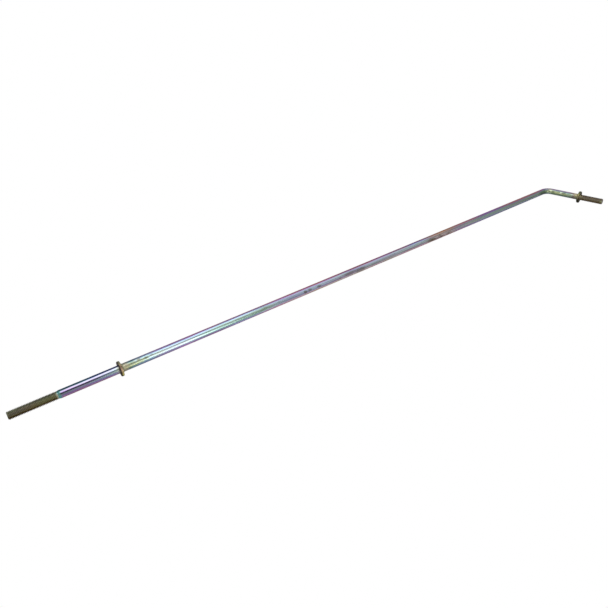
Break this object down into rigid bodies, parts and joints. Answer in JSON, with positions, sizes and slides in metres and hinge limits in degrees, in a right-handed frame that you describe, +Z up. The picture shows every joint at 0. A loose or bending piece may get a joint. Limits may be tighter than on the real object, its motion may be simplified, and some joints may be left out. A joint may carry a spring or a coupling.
{
  "type": "bent linkage rod",
  "caption": "Long plated steel linkage rod, threaded at both ends, with a stop collar near each end and a bend close to the far end.",
  "frame": {"origin": "on the bar's axis, in the outboard face of the near collar", "axes": "+X along the main shank towards the bend, +Z up with the part lying flat, the bent end turns towards -Y"},
  "size_m": [0.7738, 0.0837, 0.016],
  "materials": {
    "plated_bar": "iridescent yellow-zinc plate, satin, faint drawing marks along the bar",
    "plated_collar": "olive-brown zinc plate, duller than the bar",
    "plated_weld": "rippled weld under beige-olive plate, matte"
  },
  "bodies": {
    "root": {"bent_rod": "plated_bar", "near_collar": "plated_collar", "near_collar_weld": "plated_weld", "far_collar": "plated_collar", "far_collar_weld": "plated_weld"}
  },
  "joints": []
}
